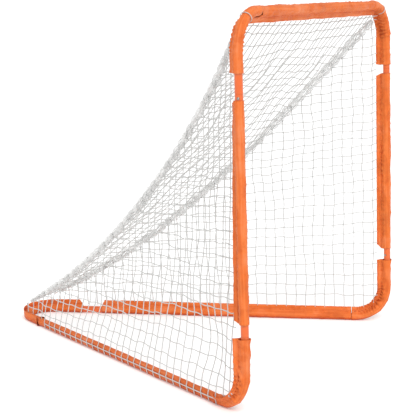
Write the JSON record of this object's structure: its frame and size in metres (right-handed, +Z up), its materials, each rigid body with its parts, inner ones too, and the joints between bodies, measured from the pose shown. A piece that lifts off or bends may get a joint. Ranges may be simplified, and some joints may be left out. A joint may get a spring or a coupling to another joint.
{
  "type": "lacrosse goal",
  "caption": "Portable square-mouthed goal: orange steel tubes in fabric sleeves, V-shaped base and a white knotted net in three panels.",
  "frame": {"origin": "on the ground under the middle of the goal's box", "axes": "+Y from the mouth to the rear point, +Z up, +X to the right post seen from in front"},
  "size_m": [1.2246, 1.2849, 1.2277],
  "materials": {
    "powder_coated_steel": "satin powder coat",
    "sleeve_fabric": "woven polyester, slight sheen",
    "net_cord": "matt braided twine",
    "spring_steel": "zinc-plated"
  },
  "bodies": {
    "goal": {"crossbar_tube": "powder_coated_steel", "left_top_elbow": "powder_coated_steel", "right_top_elbow": "powder_coated_steel", "left_upright_tube": "powder_coated_steel", "right_upright_tube": "powder_coated_steel", "left_bottom_elbow": "powder_coated_steel", "right_bottom_elbow": "powder_coated_steel", "left_rail_tube": "powder_coated_steel", "right_rail_tube": "powder_coated_steel", "rear_tube": "powder_coated_steel", "crossbar_sleeve": "sleeve_fabric", "left_top_sleeve": "sleeve_fabric", "right_top_sleeve": "sleeve_fabric", "left_post_sleeve": "sleeve_fabric", "right_post_sleeve": "sleeve_fabric", "left_bottom_sleeve": "sleeve_fabric", "right_bottom_sleeve": "sleeve_fabric", "left_rail_sleeve": "sleeve_fabric", "right_rail_sleeve": "sleeve_fabric", "rear_sleeve": "sleeve_fabric", "top_net": "net_cord", "left_side_net": "net_cord", "right_side_net": "net_cord", "left_seam": "net_cord", "right_seam": "net_cord", "left_crossbar_spring": "spring_steel", "left_upright_top_spring": "spring_steel", "left_upright_bottom_spring": "spring_steel", "left_rail_front_spring": "spring_steel", "left_rail_rear_spring": "spring_steel", "right_crossbar_spring": "spring_steel", "right_upright_top_spring": "spring_steel", "right_upright_bottom_spring": "spring_steel", "right_rail_front_spring": "spring_steel", "right_rail_rear_spring": "spring_steel"},
    "left_crossbar_clip": {"left_crossbar_button": "spring_steel"},
    "left_upright_top_clip": {"left_upright_top_button": "spring_steel"},
    "left_upright_bottom_clip": {"left_upright_bottom_button": "spring_steel"},
    "left_rail_front_clip": {"left_rail_front_button": "spring_steel"},
    "left_rail_rear_clip": {"left_rail_rear_button": "spring_steel"},
    "right_crossbar_clip": {"right_crossbar_button": "spring_steel"},
    "right_upright_top_clip": {"right_upright_top_button": "spring_steel"},
    "right_upright_bottom_clip": {"right_upright_bottom_button": "spring_steel"},
    "right_rail_front_clip": {"right_rail_front_button": "spring_steel"},
    "right_rail_rear_clip": {"right_rail_rear_button": "spring_steel"}
  },
  "joints": [
    {"name": "left_crossbar_press", "type": "hinge", "parent": "goal", "child": "left_crossbar_clip", "pos_m": [-0.3169, -0.58448, 1.21535], "axis": [0, -0.2773, 0.9608], "range_deg": [0, 6.19], "stiffness_Nm_per_rad": 4, "springref_deg": -2.86},
    {"name": "left_upright_top_press", "type": "hinge", "parent": "goal", "child": "left_upright_top_clip", "pos_m": [-0.60591, -0.6044, 0.93257], "axis": [-0.2587, 0.9654, -0.032], "range_deg": [0, 6.19], "stiffness_Nm_per_rad": 4, "springref_deg": -2.86},
    {"name": "left_upright_bottom_press", "type": "hinge", "parent": "goal", "child": "left_upright_bottom_clip", "pos_m": [-0.58909, -0.62108, 0.29397], "axis": [-0.2587, 0.9654, -0.032], "range_deg": [0, 6.19], "stiffness_Nm_per_rad": 4, "springref_deg": -2.86},
    {"name": "left_rail_front_press", "type": "hinge", "parent": "goal", "child": "left_rail_front_clip", "pos_m": [-0.49468, -0.3714, 0.0136], "axis": [0, 0, 1], "range_deg": [0, 6.19], "stiffness_Nm_per_rad": 4, "springref_deg": -2.86},
    {"name": "left_rail_rear_press", "type": "hinge", "parent": "goal", "child": "left_rail_rear_clip", "pos_m": [-0.16265, 0.40104, 0.0136], "axis": [0, 0, -1], "range_deg": [0, 6.19], "stiffness_Nm_per_rad": 4, "springref_deg": -2.86},
    {"name": "right_crossbar_press", "type": "hinge", "parent": "goal", "child": "right_crossbar_clip", "pos_m": [0.3169, -0.58448, 1.21535], "axis": [0, 0.2773, -0.9608], "range_deg": [0, 6.19], "stiffness_Nm_per_rad": 4, "springref_deg": -2.86},
    {"name": "right_upright_top_press", "type": "hinge", "parent": "goal", "child": "right_upright_top_clip", "pos_m": [0.60591, -0.6044, 0.93257], "axis": [-0.2587, -0.9654, 0.032], "range_deg": [0, 6.19], "stiffness_Nm_per_rad": 4, "springref_deg": -2.86},
    {"name": "right_upright_bottom_press", "type": "hinge", "parent": "goal", "child": "right_upright_bottom_clip", "pos_m": [0.58909, -0.62108, 0.29397], "axis": [-0.2587, -0.9654, 0.032], "range_deg": [0, 6.19], "stiffness_Nm_per_rad": 4, "springref_deg": -2.86},
    {"name": "right_rail_front_press", "type": "hinge", "parent": "goal", "child": "right_rail_front_clip", "pos_m": [0.49468, -0.3714, 0.0136], "axis": [0, 0, -1], "range_deg": [0, 6.19], "stiffness_Nm_per_rad": 4, "springref_deg": -2.86},
    {"name": "right_rail_rear_press", "type": "hinge", "parent": "goal", "child": "right_rail_rear_clip", "pos_m": [0.16265, 0.40104, 0.0136], "axis": [0, 0, 1], "range_deg": [0, 6.19], "stiffness_Nm_per_rad": 4, "springref_deg": -2.86}
  ]
}
